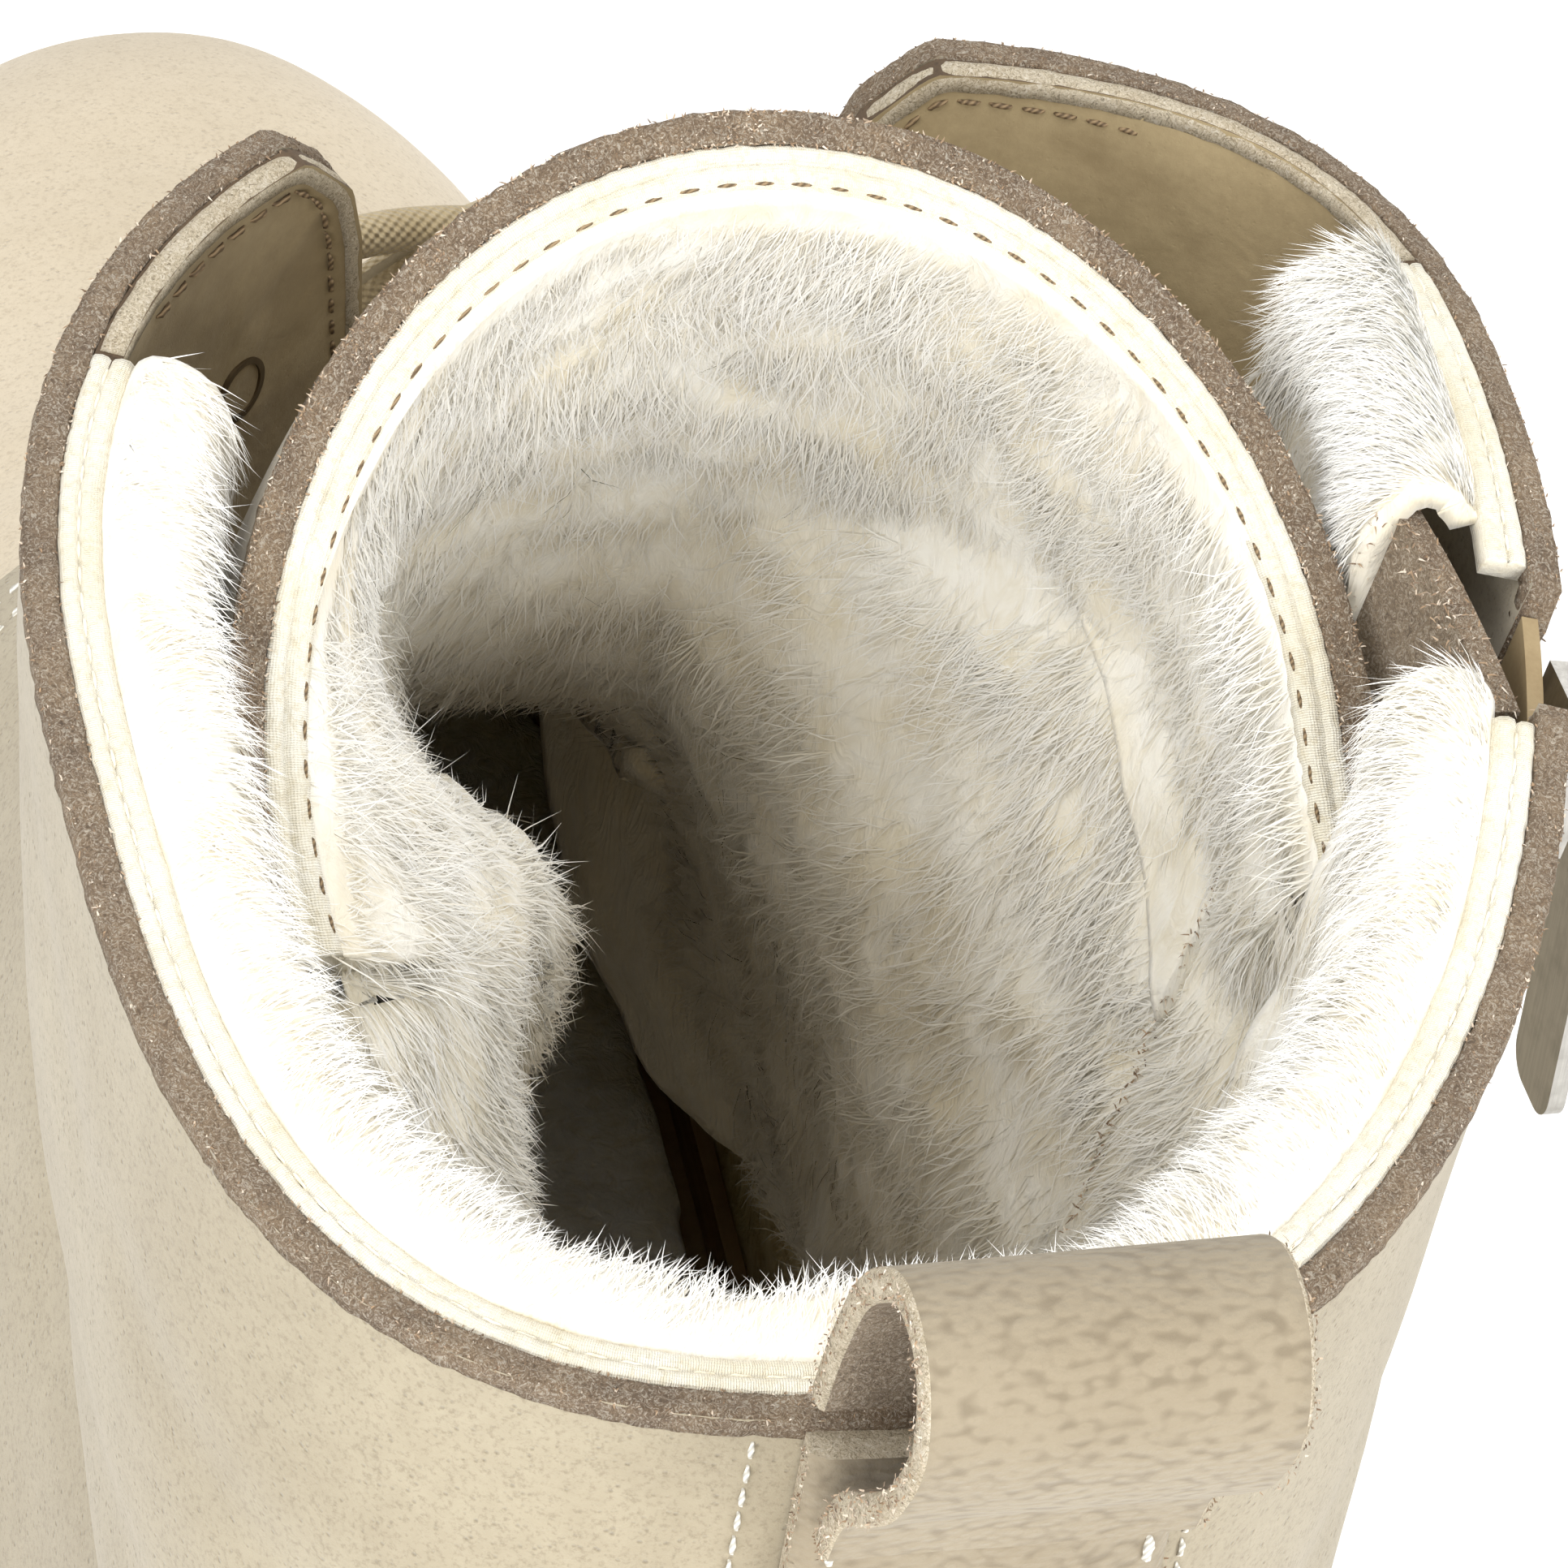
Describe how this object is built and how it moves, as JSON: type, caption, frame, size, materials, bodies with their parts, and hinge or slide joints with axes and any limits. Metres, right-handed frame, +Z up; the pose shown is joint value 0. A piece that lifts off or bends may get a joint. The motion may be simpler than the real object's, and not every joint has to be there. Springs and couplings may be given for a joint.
{
  "type": "sheepskin lace-up ankle boot",
  "caption": "Left ankle boot in pale nubuck with a deep fleece lining, lace-up throat, inner side zip, heel pull loop and lugged rubber sole.",
  "frame": {"origin": "centre of the heel's flat rest on the floor", "axes": "+X towards the toe, +Y towards the little-toe (lateral) side, +Z up"},
  "size_m": [0.3076, 0.1165, 0.1966],
  "materials": {
    "nubuck": "pale beige nubuck with fine pores and raw brown cut edges",
    "suede": "raw brown suede",
    "welt_leather": "smooth tan welt with stitches",
    "fleece": "cream sheepskin pile",
    "sole_rubber": "matt tan moulded rubber",
    "zip_textile": "woven beige zip tape",
    "lace_textile": "round braided beige cord",
    "nickel": "satin nickel",
    "eyelet_metal": "dark antique brass"
  },
  "bodies": {
    "boot": {"outsole": "sole_rubber", "midsole": "welt_leather", "insole": "fleece", "upper": "nubuck", "tongue": "nubuck", "heel_stay": "nubuck", "pull_loop": "nubuck", "zip_tape": "zip_textile", "zip_guard": "suede", "zip_slider": "nickel", "eyelet_lateral_1": "eyelet_metal", "eyelet_medial_1": "eyelet_metal", "eyelet_lateral_2": "eyelet_metal", "eyelet_medial_2": "eyelet_metal", "eyelet_lateral_3": "eyelet_metal", "eyelet_medial_3": "eyelet_metal", "eyelet_lateral_4": "eyelet_metal", "eyelet_medial_4": "eyelet_metal", "eyelet_lateral_5": "eyelet_metal", "eyelet_medial_5": "eyelet_metal", "eyelet_lateral_6": "eyelet_metal", "eyelet_medial_6": "eyelet_metal", "lace": "lace_textile"},
    "zip_pull": {"zip_pull": "nickel"}
  },
  "joints": [
    {"name": "pull_swing", "type": "hinge", "parent": "boot", "child": "zip_pull", "pos_m": [0.031, -0.05795, 0.1664], "axis": [-1, 0, 0], "range_deg": [0, 150]}
  ]
}
